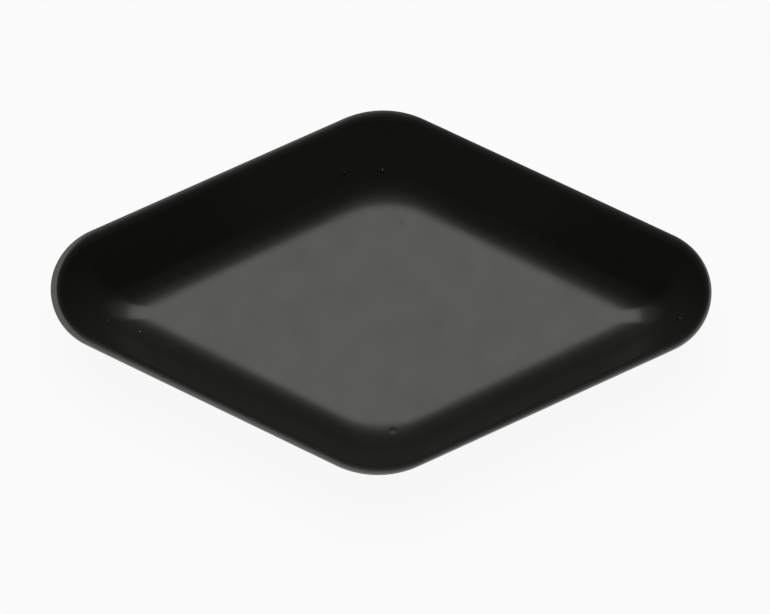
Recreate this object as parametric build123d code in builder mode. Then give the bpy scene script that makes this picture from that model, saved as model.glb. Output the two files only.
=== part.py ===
from build123d import *

import os
from math import asin, atan2, ceil, cos, hypot, radians, sin, tan

# A small diamond-shaped weighing boat, vacuum formed from one sheet of black polystyrene.
# Millimetres, +Z up, +X along the long diagonal. The origin is at the middle of the lip's
# outline, on the plane that the flat underside rests on.

# The lip as it is die cut: a rhombus with rounded corners.
lip_length = 57.2
lip_width = 33.66
lip_tip_radius = 5.83
lip_side_radius = 8.0

# The sheet and the section it is drawn to.
height = 6.85
sheet = 0.38
wall_angle = 56.7
base_radius = 3.4
roll_radius = 1.18
lip_inside_crest = 0.15

# The form in plan: its floor is splayed a little wider in angle than its crest, and its
# tips are rounded from one radius at the floor to another at the crest, slowly at first.
floor_splay = 0.95
floor_tip_radius = 0.6
crest_tip_radius = 6.3
tip_growth = 1.8
form_side_radius = 7.9

# The cutting die sat a little off the form, so the form's middle is not the lip's middle.
form_shift = (0.17, 0.06)

# Each bend of the section is drawn in steps of about this turn.
bend_step = 9.0


def side_angle():
    """Half of the lip's angle at a tip: the lean of a straight line that touches both corners."""
    tip_centre = lip_length / 2 - lip_tip_radius
    side_centre = lip_width / 2 - lip_side_radius
    between = hypot(tip_centre, side_centre)
    return atan2(side_centre, tip_centre) + asin((lip_side_radius - lip_tip_radius) / between)


half_angle = side_angle()
lip_reach = lip_tip_radius + (lip_length / 2 - lip_tip_radius) * sin(half_angle)


def rounded_rhombus(reach, tip_radius, side_radius, angle):
    """The outline whose straight sides lie at reach from its middle, around four corner circles."""
    tip_centre = (reach - tip_radius) / sin(angle)
    side_centre = (reach - side_radius) / cos(angle)
    with BuildSketch() as outline:
        with Locations((tip_centre, 0), (-tip_centre, 0)):
            Circle(tip_radius)
        with Locations((0, side_centre), (0, -side_centre)):
            Circle(side_radius)
        make_hull()
    return outline.sketch


# The section across a wall, seen on its upper face: flat floor, base bend, wall, rolled crest.
lean = radians(wall_angle)
wall_rise = height - sheet - (base_radius + roll_radius) * (1 - cos(lean))
crest_offset = (base_radius + roll_radius) * sin(lean) + wall_rise / tan(lean)
floor_reach = lip_reach + lip_inside_crest - crest_offset
bend_steps = ceil(wall_angle / bend_step)


def section(depth):
    """Points (offset outwards, height) of the section, at a depth into the sheet."""
    points = []
    for step in range(bend_steps + 1):
        turn = lean * step / bend_steps
        radius = base_radius + depth
        points.append((radius * sin(turn), sheet + base_radius - radius * cos(turn)))
    for step in range(bend_steps, -1, -1):
        turn = lean * step / bend_steps
        radius = roll_radius - depth
        points.append((crest_offset - radius * sin(turn), height - roll_radius + radius * cos(turn)))
    return points


def form_outline(offset):
    """The drawn shape's outline at an offset outwards from the edge of the flat floor."""
    share = offset / crest_offset
    tip_radius = floor_tip_radius + (crest_tip_radius - floor_tip_radius) * share**tip_growth
    angle = half_angle + radians(floor_splay) * (1 - share)
    return rounded_rhombus(floor_reach + offset, tip_radius, form_side_radius, angle)


with BuildPart() as weighing_boat:
    # The outside of the drawn dish, under the flat sheet that is left around it.
    for offset, level in section(sheet):
        with BuildSketch(Plane.XY.offset(level)):
            with Locations(form_shift):
                add(form_outline(offset))
    loft(ruled=True)
    with BuildSketch(Plane.XY.offset(height)):
        Rectangle(2 * lip_length, 2 * lip_width)
    extrude(amount=-sheet)
    # The hollow.
    for offset, level in section(0):
        with BuildSketch(Plane.XY.offset(level)):
            with Locations(form_shift):
                add(form_outline(offset))
    loft(ruled=True, mode=Mode.SUBTRACT)
    # The die cut through the lip.
    with BuildSketch():
        add(rounded_rhombus(lip_reach, lip_tip_radius, lip_side_radius, half_angle))
    extrude(amount=height, mode=Mode.INTERSECT)

weighing_boat.part.label = "weighing_boat"
os.makedirs("parts", exist_ok=True)
export_step(weighing_boat.part, "parts/weighing_boat.step")
print("floor reach", round(floor_reach, 2), "crest offset", round(crest_offset, 2))
print("volume", round(weighing_boat.part.volume, 1), "box", weighing_boat.part.bounding_box().size)
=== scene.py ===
from math import asin, atan2, cos, hypot, pi, radians, sin, sqrt, tan

import bmesh
import bpy
from mathutils import Matrix, Vector


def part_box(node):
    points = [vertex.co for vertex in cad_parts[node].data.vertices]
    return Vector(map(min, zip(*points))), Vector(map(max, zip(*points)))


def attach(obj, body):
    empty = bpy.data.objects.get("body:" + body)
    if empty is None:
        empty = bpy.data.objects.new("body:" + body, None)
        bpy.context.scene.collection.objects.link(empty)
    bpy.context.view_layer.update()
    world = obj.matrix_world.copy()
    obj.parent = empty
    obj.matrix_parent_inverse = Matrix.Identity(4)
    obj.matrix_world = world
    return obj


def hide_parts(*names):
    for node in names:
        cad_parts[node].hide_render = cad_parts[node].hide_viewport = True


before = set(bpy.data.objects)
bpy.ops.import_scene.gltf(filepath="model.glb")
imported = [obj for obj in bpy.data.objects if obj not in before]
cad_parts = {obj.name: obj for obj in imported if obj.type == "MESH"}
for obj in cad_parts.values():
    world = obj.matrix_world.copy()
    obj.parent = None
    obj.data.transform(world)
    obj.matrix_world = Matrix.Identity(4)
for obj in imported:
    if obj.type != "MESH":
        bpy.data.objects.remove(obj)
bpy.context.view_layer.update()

# ---------------------------------------------------------------------------
# The boat. One thin sheet of black polystyrene, drawn by vacuum into a
# diamond-shaped form and die cut through its lip. Nothing is fixed to it.
# ---------------------------------------------------------------------------
mm = 0.001

boat_low, boat_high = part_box("weighing_boat")
lip_length = boat_high[0] - boat_low[0]
lip_width = boat_high[1] - boat_low[1]
height = boat_high[2] - boat_low[2]

# The die-cut outline: a rhombus with rounded corners.
lip_tip_radius = 5.83 * mm
lip_side_radius = 8.0 * mm

# The drawn section: flat floor, base bend, straight wall, rolled crest.
sheet = 0.38 * mm
wall_lean = radians(56.7)
base_radius = 3.4 * mm
roll_radius = 1.18 * mm
lip_past_crest = -0.15 * mm

# The form's own corners, and how far the form sits off the die.
floor_splay = radians(0.95)
floor_tip_radius = 0.6 * mm
crest_tip_radius = 6.3 * mm
tip_growth = 1.8
form_side_radius = 7.9 * mm
form_shift = Vector((0.17 * mm, 0.06 * mm, 0))

tip_centre = lip_length / 2 - lip_tip_radius
side_centre = lip_width / 2 - lip_side_radius
half_angle = atan2(side_centre, tip_centre)
half_angle += asin((lip_side_radius - lip_tip_radius) / hypot(tip_centre, side_centre))
lip_reach = lip_tip_radius + tip_centre * sin(half_angle)

wall_rise = height - sheet - (base_radius + roll_radius) * (1 - cos(wall_lean))
crest_offset = (base_radius + roll_radius) * sin(wall_lean) + wall_rise / tan(wall_lean)
floor_reach = lip_reach - lip_past_crest - crest_offset

# How finely the sheet is meshed.
tip_steps = 40
side_steps = 16
straight_cuts = 40
floor_rings = 12
bend_rings = 14
wall_rings = 12
roll_rings = 14
lip_tolerance = 0.001 * mm
sharpest_bend = radians(50)

# The upper skin is the part that faces up by more than this, as the height of its normal.
facing_up = 0.2

# Pips left by the form's vent holes and by dust on it: (x, y, radius, rise) in millimetres.
# The skin about each one is cut twice, over more than the pip, and the cut's uneven faces are
# then triangulated. The two big faces in the middle of the floor have more sides than those.
pips = [(1.55, 8.85, 0.26, -0.028), (1.1, -10.8, 0.45, 0.06), (-23.88, -1.2, 0.24, 0.17),
        (25.96, -1.3, 0.22, 0.2), (-21.16, -1.9, 0.22, 0.12), (-0.17, 13.0, 0.17, 0.24),
        (-3.52, 12.57, 0.17, 0.22)]
pip_cuts = 7
pip_surround = 1.5
pip_most_sides = 8 * pip_cuts

# Low swellings of the sheet where it bridges the form's sharp tips, in millimetres: (x, y).
swell_left = (-23.5, 0.2)
swell_right = (23.85, 0.0)
swell_radius = 1.4 * mm
swell_rise = 0.07 * mm

# The four corners, in turn about the boat: (towards, radius kind).
corners = [(Vector((1, 0, 0)), "tip"), (Vector((0, 1, 0)), "side"),
           (Vector((-1, 0, 0)), "tip"), (Vector((0, -1, 0)), "side")]


def corner_circles(reach, tip_radius, side_radius, angle, middle):
    """Centre and radius of each corner of a rounded rhombus with its sides at reach."""
    circles = []
    for towards, kind in corners:
        if kind == "tip":
            circles.append((middle + towards * (reach - tip_radius) / sin(angle), tip_radius))
        else:
            circles.append((middle + towards * (reach - side_radius) / cos(angle), side_radius))
    return circles


def form_circles(offset):
    """The corners of the drawn shape, at an offset outwards from the edge of the flat floor."""
    share = offset / crest_offset
    tip_radius = floor_tip_radius + (crest_tip_radius - floor_tip_radius) * share ** tip_growth
    angle = half_angle + floor_splay * (1 - share)
    return corner_circles(floor_reach + offset, tip_radius, form_side_radius, angle, form_shift)


def first_ring(bm, corner_layer, circles, level):
    """A closed ring of edges: an arc spun about each corner's centre, joined by straight sides."""
    arcs = []
    for number, (centre, radius) in enumerate(circles):
        towards, kind = corners[number]
        turn = pi - 2 * half_angle if kind == "tip" else 2 * half_angle
        steps = tip_steps if kind == "tip" else side_steps
        start = Matrix.Rotation(-turn / 2, 3, "Z") @ towards * radius
        vert = bm.verts.new(centre + start + Vector((0, 0, level)))
        spun = bmesh.ops.spin(bm, geom=[vert], cent=centre, axis=(0, 0, 1),
                              angle=turn, steps=steps)
        arc = [vert]
        while arc[-1] is not spun["geom_last"][0]:
            ahead = [edge.other_vert(arc[-1]) for edge in arc[-1].link_edges]
            arc.append(next(other for other in ahead if other not in arc))
        for vert in arc:
            vert[corner_layer] = number
        arcs.append(arc)
    for number, arc in enumerate(arcs):
        bm.edges.new((arc[-1], arcs[(number + 1) % len(arcs)][0]))
    return list(bm.edges)


def extrude_ring(bm, ring):
    """Extrude a ring of edges in place, and give the new ring's points and edges."""
    made = bmesh.ops.extrude_edge_only(bm, edges=ring)["geom"]
    verts = [part for part in made if isinstance(part, bmesh.types.BMVert)]
    edges = [part for part in made if isinstance(part, bmesh.types.BMEdge) and
             all(vert in verts for vert in part.verts)]
    return verts, edges


def next_ring(bm, corner_layer, ring, circles, level, next_circles, next_level):
    """Extrude a ring of edges to where the next ring lies, corner by corner."""
    verts, edges = extrude_ring(bm, ring)
    for number, (now, then) in enumerate(zip(circles, next_circles)):
        (centre, radius), (next_centre, next_radius) = now, then
        grow = next_radius / radius
        move = Matrix.Translation(next_centre + Vector((0, 0, next_level)))
        move @= Matrix.Diagonal((grow, grow, 1, 1))
        move @= Matrix.Translation(-centre - Vector((0, 0, level)))
        own = [vert for vert in verts if vert[corner_layer] == number]
        bmesh.ops.transform(bm, matrix=move, verts=own, space=Matrix.Identity(4))
    return edges


def points_of(ring):
    """The points of a ring of edges, each one once."""
    return {vert for edge in ring for vert in edge.verts}


def wall_top(depth):
    """Offset at which the wall turns into the rolled crest."""
    return crest_offset - (roll_radius - depth) * sin(wall_lean)


def rise_to_roll(depth):
    """(circles, height) of each ring up one face of the sheet, from the floor to the roll."""
    points = []
    for step in range(bend_rings + 1):
        turn = wall_lean * step / bend_rings
        radius = base_radius + depth
        points.append((radius * sin(turn), sheet + base_radius - radius * cos(turn)))
    foot = points[-1]
    top = (wall_top(depth), crest_level(wall_top(depth), depth))
    for step in range(1, wall_rings + 1):
        share = step / wall_rings
        points.append(tuple(low + (high - low) * share for low, high in zip(foot, top)))
    return [(form_circles(offset), level) for offset, level in points]


def crest_level(offset, depth):
    """Height of one face of the sheet where it rolls over to the crest."""
    radius = roll_radius - depth
    inward = max(crest_offset - offset, 0)
    return height - roll_radius + sqrt(radius ** 2 - min(inward, radius * sin(wall_lean)) ** 2)


def roll_to_cut(depth):
    """Circles of each ring over the roll, which end at the die-cut outline."""
    start = form_circles(wall_top(depth))
    end = corner_circles(lip_reach, lip_tip_radius, lip_side_radius, half_angle, Vector())
    rings = []
    for step in range(1, roll_rings + 1):
        share = 1 - sin(wall_lean * (1 - step / roll_rings)) / sin(wall_lean)
        rings.append([(centre.lerp(end_centre, share), radius + (end_radius - radius) * share)
                      for (centre, radius), (end_centre, end_radius) in zip(start, end)])
    return rings


def drop_to_form(ring, corner_layer, depth):
    """Set a lip ring's height from how far each point lies out from the floor's edge."""
    for vert in points_of(ring):
        near, far = 0, 2 * crest_offset
        while far - near > lip_tolerance:
            middle = (near + far) / 2
            centre, radius = form_circles(middle)[vert[corner_layer]]
            if (vert.co.xy - centre.xy).length > radius:
                near = middle
            else:
                far = middle
        vert.co.z = crest_level(near, depth)


def raise_pip(bm, x, y, radius, rise):
    """Cut the upper skin finely about one pip, and lift it there in a smooth bump."""
    place = Vector((x * mm, y * mm))
    reach = radius * mm
    skin = [face for face in bm.faces if face.normal.z > facing_up and
            bmesh.geometry.intersect_face_point(face, (*place, face.calc_center_median().z))]
    skin = {face for edge in skin[0].edges for face in edge.link_faces}
    edges = list({edge for face in skin for edge in face.edges})
    bmesh.ops.subdivide_edges(bm, edges=edges, cuts=pip_cuts, use_grid_fill=True)
    close = []
    for edge in bm.edges:
        middle = sum((vert.co.xy for vert in edge.verts), Vector((0, 0))) / 2
        if edge.verts[0].normal.z > facing_up and (middle - place).length < pip_surround * reach:
            close.append(edge)
    bmesh.ops.subdivide_edges(bm, edges=close, cuts=pip_cuts // 2, use_grid_fill=True)
    many_sided = [face for face in bm.faces if 4 < len(face.verts) < pip_most_sides]
    bmesh.ops.triangulate(bm, faces=many_sided)
    bm.normal_update()
    lifts = [(vert, vert.normal.copy()) for vert in bm.verts
             if vert.normal.z > facing_up and (vert.co.xy - place).length < reach]
    for vert, normal in lifts:
        share = (vert.co.xy - place).length / reach
        vert.co += normal * rise * mm * (1 - share ** 2) ** 2


def swell_sheet(bm, x, y):
    """Lift both skins of the sheet together in a low swelling."""
    for vert in bm.verts:
        share = (vert.co.xy - Vector((x * mm, y * mm))).length / swell_radius
        if share < 1:
            vert.co.z += swell_rise * (1 - share ** 2) ** 2


def build_boat():
    """Skin the sheet up to its lip, over the cut and down the underside, then fill both floors."""
    bm = bmesh.new()
    corner_layer = bm.verts.layers.int.new("corner")
    upper, under = rise_to_roll(0), rise_to_roll(sheet)
    circles, level = upper[0]
    ring = start = first_ring(bm, corner_layer, circles, level)
    for next_circles, next_level in upper[1:]:
        ring = next_ring(bm, corner_layer, ring, circles, level, next_circles, next_level)
        circles, level = next_circles, next_level
    for next_circles in roll_to_cut(0):
        ring = next_ring(bm, corner_layer, ring, circles, 0, next_circles, 0)
        drop_to_form(ring, corner_layer, 0)
        circles = next_circles
    for next_circles in roll_to_cut(sheet)[::-1]:
        ring = next_ring(bm, corner_layer, ring, circles, 0, next_circles, 0)
        drop_to_form(ring, corner_layer, sheet)
        circles = next_circles
    for next_circles, next_level in under[::-1]:
        ring = next_ring(bm, corner_layer, ring, circles, 0, next_circles, 0)
        for vert in points_of(ring):
            vert.co.z = next_level
        circles = next_circles
    for edges in (start, ring):
        for step in range(floor_rings - 1):
            verts, edges = extrude_ring(bm, edges)
            shrink = (floor_rings - 1 - step) / (floor_rings - step)
            bmesh.ops.scale(bm, vec=(shrink, shrink, 1), verts=verts,
                            space=Matrix.Translation(-form_shift))
        bmesh.ops.contextual_create(bm, geom=edges)
    sides = [edge for edge in bm.edges
             if edge.verts[0][corner_layer] != edge.verts[1][corner_layer]]
    bmesh.ops.subdivide_edges(bm, edges=sides, cuts=straight_cuts, use_grid_fill=True)
    bmesh.ops.recalc_face_normals(bm, faces=bm.faces)
    bm.normal_update()
    for swelling in (swell_left, swell_right):
        swell_sheet(bm, *swelling)
    for pip in pips:
        raise_pip(bm, *pip)
    mesh = bpy.data.meshes.new("boat")
    bm.to_mesh(mesh)
    bm.free()
    mesh.shade_smooth()
    mesh.set_sharp_from_angle(angle=sharpest_bend)
    boat = bpy.data.objects.new("boat", mesh)
    bpy.context.scene.collection.objects.link(boat)
    return boat


boat = build_boat()


# The plastic: its diffuse grey, and the two tints of it that it drifts between. Here and
# below, clouds are (scale, detail).
black = 0.0186
black_green = (0.86, 0.95, 0.78)
black_pale = (1.06, 1.15, 0.96)
tint_clouds = (700, 3)

# Its gloss: how rough it is, how far that varies between patches, its strength and its tint.
satin = 0.335
satin_spread = 0.03
satin_clouds = (320, 4)
satin_cloud_range = (0.3, 0.7)
refraction = 1.5
gloss_tint = (0.98, 1.0, 0.92, 1)

# Its slow ripple and fine grain.
ripple = 0.006 * mm
ripple_clouds = (140, 1)
grain = 0.0006 * mm
grain_clouds = (2600, 1)

# Faint pale rubs on the floor, in millimetres:
# (centre, radius, middle of the arc, half its length).
rubs = [((-12.4, -1.75, 0.38), 2.55, (-15.0, -1.9, 0.38), 2.2),
        ((9.7, -2.0, 0.38), 3.1, (12.7, -2.8, 0.38), 1.6)]
rub_width = 0.22
rub_share = 0.45
rubbed = 0.035

# A short wavy scuff on the near wall by the left tip.
scuff_place = (-18.0, -3.1, 0.7)
scuff_length = 1.3
scuff_wave = 0.1
scuff_width = 0.09
scuff_turns = 9000
scuff_share = 0.8
scuff_steady = 0.7


def black_polystyrene():
    """Satin black, a little uneven in colour and gloss, with pale rubs and a scuff."""
    material = bpy.data.materials.new("black_polystyrene")
    material.use_nodes = True
    nodes = material.node_tree.nodes
    links = material.node_tree.links
    shader = nodes["Principled BSDF"]
    shader.inputs["IOR"].default_value = refraction
    shader.inputs["Specular Tint"].default_value = gloss_tint
    surface = nodes.new("ShaderNodeTexCoord")
    place = surface.outputs["Object"]

    def value(operation, *inputs):
        node = nodes.new("ShaderNodeMath")
        node.operation = operation
        for socket, source in zip(node.inputs, inputs):
            if isinstance(source, bpy.types.NodeSocket):
                links.new(source, socket)
            else:
                socket.default_value = source
        return node.outputs["Value"]

    def distance_to(point):
        node = nodes.new("ShaderNodeVectorMath")
        node.operation = "DISTANCE"
        links.new(place, node.inputs[0])
        node.inputs[1].default_value = [part * mm for part in point]
        return node.outputs["Value"]

    def fade(source, start, end, rise):
        node = nodes.new("ShaderNodeMapRange")
        node.interpolation_type = "SMOOTHSTEP"
        links.new(source, node.inputs["Value"])
        node.inputs["From Min"].default_value = start
        node.inputs["From Max"].default_value = end
        node.inputs["To Min"].default_value = rise
        node.inputs["To Max"].default_value = 0
        return node.outputs["Result"]

    def clouds(scale, detail):
        node = nodes.new("ShaderNodeTexNoise")
        links.new(place, node.inputs["Vector"])
        node.inputs["Scale"].default_value = scale
        node.inputs["Detail"].default_value = detail
        return node.outputs["Fac"]

    relief = value("MULTIPLY", clouds(*ripple_clouds), ripple)
    relief = value("ADD", relief, value("MULTIPLY", clouds(*grain_clouds), grain))
    bump = nodes.new("ShaderNodeBump")
    bump.inputs["Strength"].default_value = 1
    bump.inputs["Distance"].default_value = 1
    links.new(relief, bump.inputs["Height"])
    links.new(bump.outputs["Normal"], shader.inputs["Normal"])

    patches = nodes.new("ShaderNodeMapRange")
    links.new(clouds(*satin_clouds), patches.inputs["Value"])
    patches.inputs["From Min"].default_value = satin_cloud_range[0]
    patches.inputs["From Max"].default_value = satin_cloud_range[1]
    patches.inputs["To Min"].default_value = satin - satin_spread
    patches.inputs["To Max"].default_value = satin + satin_spread
    links.new(patches.outputs["Result"], shader.inputs["Roughness"])

    tint = nodes.new("ShaderNodeMix")
    tint.data_type = "RGBA"
    links.new(clouds(*tint_clouds), tint.inputs["Factor"])
    tint.inputs["A"].default_value = (*(black * part for part in black_green), 1)
    tint.inputs["B"].default_value = (*(black * part for part in black_pale), 1)

    apart = nodes.new("ShaderNodeSeparateXYZ")
    links.new(place, apart.inputs["Vector"])
    wave = value("SINE", value("MULTIPLY", apart.outputs["X"], scuff_turns))
    line = value("MULTIPLY_ADD", wave, scuff_wave * mm, scuff_place[1] * mm)
    across = value("ABSOLUTE", value("SUBTRACT", apart.outputs["Y"], line))
    from_place = distance_to(scuff_place)
    along = fade(from_place, scuff_steady * scuff_length * mm, scuff_length * mm, scuff_share)
    marks = value("MULTIPLY", fade(across, 0, scuff_width * mm, 1), along)
    for centre, radius, middle, reach in rubs:
        ring = value("ABSOLUTE", value("SUBTRACT", distance_to(centre), radius * mm))
        band = fade(ring, 0, rub_width * mm, rub_share)
        arc = value("MULTIPLY", band, fade(distance_to(middle), 0, reach * mm, 1))
        marks = value("ADD", marks, arc)
    facing = nodes.new("ShaderNodeSeparateXYZ")
    links.new(surface.outputs["Normal"], facing.inputs["Vector"])
    marks = value("MULTIPLY", marks, value("GREATER_THAN", facing.outputs["Z"], 0))
    worn = nodes.new("ShaderNodeMix")
    worn.data_type = "RGBA"
    links.new(marks, worn.inputs["Factor"])
    links.new(tint.outputs["Result"], worn.inputs["A"])
    worn.inputs["B"].default_value = (rubbed, rubbed, rubbed, 1)
    links.new(worn.outputs["Result"], shader.inputs["Base Color"])
    return material


boat.data.materials.append(black_polystyrene())
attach(boat, "root")
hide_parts("weighing_boat")

# ---------------------------------------------------------------------------
# The bench: a plain white sheet, wide enough to fill every view from above. It is
# bleached almost to white where it is seen, straight or in a reflection, and
# keeps the boat's faint shadow.
# ---------------------------------------------------------------------------
bench_reach = 3.0
bench_sides = 96
bench_level = -0.02 * mm
bench_colour = (0.9, 0.9, 0.9, 1)
bench_bleach = 0.92
bench_roughness = 0.9
background_rays = ["Is Camera Ray", "Is Glossy Ray", "Is Transmission Ray"]

bm = bmesh.new()
bmesh.ops.create_circle(bm, cap_ends=True, segments=bench_sides, radius=bench_reach,
                        matrix=Matrix.Translation((0, 0, bench_level)))
mesh = bpy.data.meshes.new("bench")
bm.to_mesh(mesh)
bm.free()
bench = bpy.data.objects.new("bench", mesh)
bpy.context.scene.collection.objects.link(bench)

bench_white = bpy.data.materials.new("bench_white")
bench_white.use_nodes = True
nodes = bench_white.node_tree.nodes
links = bench_white.node_tree.links
paint = nodes["Principled BSDF"]
paint.inputs["Base Color"].default_value = bench_colour
paint.inputs["Roughness"].default_value = bench_roughness
paint.inputs["Specular IOR Level"].default_value = 0
glare = nodes.new("ShaderNodeEmission")
glare.inputs["Strength"].default_value = 1
ray_kind = nodes.new("ShaderNodeLightPath")
seen = nodes.new("ShaderNodeMath")
seen.operation = "MULTIPLY"
seen.inputs[1].default_value = bench_bleach
bleach = nodes.new("ShaderNodeMixShader")
any_kind = ray_kind.outputs[background_rays[0]]
for kind in background_rays[1:]:
    either = nodes.new("ShaderNodeMath")
    either.operation = "MAXIMUM"
    links.new(any_kind, either.inputs[0])
    links.new(ray_kind.outputs[kind], either.inputs[1])
    any_kind = either.outputs["Value"]
links.new(any_kind, seen.inputs[0])
links.new(seen.outputs["Value"], bleach.inputs["Fac"])
links.new(paint.outputs["BSDF"], bleach.inputs[1])
links.new(glare.outputs["Emission"], bleach.inputs[2])
links.new(bleach.outputs["Shader"], nodes["Material Output"].inputs["Surface"])
bench.data.materials.append(bench_white)

# ---------------------------------------------------------------------------
# The light: one soft box overhead, leaning back behind the boat, in a dark room
# whose ceiling catches some of its light close about it. Seen straight, the
# room is white, and it stays dark in reflections, where it makes the dark walls.
# ---------------------------------------------------------------------------
box_away = 0.9
box_width = 0.82
box_depth = 0.7
box_radiance = 2.42
box_lean = radians(20.4)
box_side = radians(-1.4)
towards_box = Vector((sin(box_side), sin(box_lean), cos(box_lean)))

# Brightness of the room at an angle from the middle of the soft box, in degrees.
room_glow = [(90, 0.045), (52, 0.01), (43, 0.3), (37, 0.2), (30, 0.3)]

lamp = bpy.data.lights.new("soft_box", "AREA")
lamp.shape = "RECTANGLE"
lamp.size = box_width
lamp.size_y = box_depth
lamp.energy = box_radiance * pi * box_width * box_depth
soft_box = bpy.data.objects.new("soft_box", lamp)
soft_box.location = box_away * towards_box
soft_box.rotation_euler = towards_box.to_track_quat("Z", "Y").to_euler()
bpy.context.scene.collection.objects.link(soft_box)

room = bpy.data.worlds.new("room")
bpy.context.scene.world = room
room.use_nodes = True
nodes = room.node_tree.nodes
links = room.node_tree.links
direction = nodes.new("ShaderNodeTexCoord")
nearness = nodes.new("ShaderNodeVectorMath")
nearness.operation = "DOT_PRODUCT"
nearness.inputs[1].default_value = towards_box
glow = nodes.new("ShaderNodeValToRGB")
stops = glow.color_ramp.elements
stops[1].position = cos(radians(room_glow[-1][0]))
for away, brightness in room_glow[1:-1]:
    stops.new(cos(radians(away)))
for stop, (away, brightness) in zip(stops, room_glow):
    stop.color = (brightness, brightness, brightness, 1)
white = nodes.new("ShaderNodeBackground")
white.inputs["Color"].default_value = (1, 1, 1, 1)
white.inputs["Strength"].default_value = 1
ray_kind = nodes.new("ShaderNodeLightPath")
seen = nodes.new("ShaderNodeMixShader")
links.new(direction.outputs["Generated"], nearness.inputs[0])
links.new(nearness.outputs["Value"], glow.inputs["Fac"])
links.new(glow.outputs["Color"], nodes["Background"].inputs["Color"])
links.new(ray_kind.outputs["Is Camera Ray"], seen.inputs["Fac"])
links.new(nodes["Background"].outputs["Background"], seen.inputs[1])
links.new(white.outputs["Background"], seen.inputs[2])
links.new(seen.outputs["Shader"], nodes["World Output"].inputs["Surface"])

# ---------------------------------------------------------------------------
# The camera: a long lens looking steeply down at the boat from its near side.
# ---------------------------------------------------------------------------
view_elevation = radians(69.2)
view_azimuth = radians(4.875)
view_roll = radians(-4.12)
lens = 204.0
sensor_width = 36.0
nearest_seen = 0.01
view_distance = 0.3815
aim = Vector((0.288 * mm, 0.005 * mm, 2.475 * mm))

camera_data = bpy.data.cameras.new("camera")
camera_data.lens = lens
camera_data.sensor_width = sensor_width
camera_data.clip_start = nearest_seen
camera = bpy.data.objects.new("camera", camera_data)
turned = Matrix.Rotation(view_azimuth, 4, "Z") @ Matrix.Rotation(pi / 2 - view_elevation, 4, "X")
backed_off = Matrix.Translation((0, 0, view_distance)) @ Matrix.Rotation(view_roll, 4, "Z")
camera.matrix_world = Matrix.Translation(aim) @ turned @ backed_off
bpy.context.scene.collection.objects.link(camera)
bpy.context.scene.camera = camera
bpy.context.scene.view_settings.view_transform = "Standard"
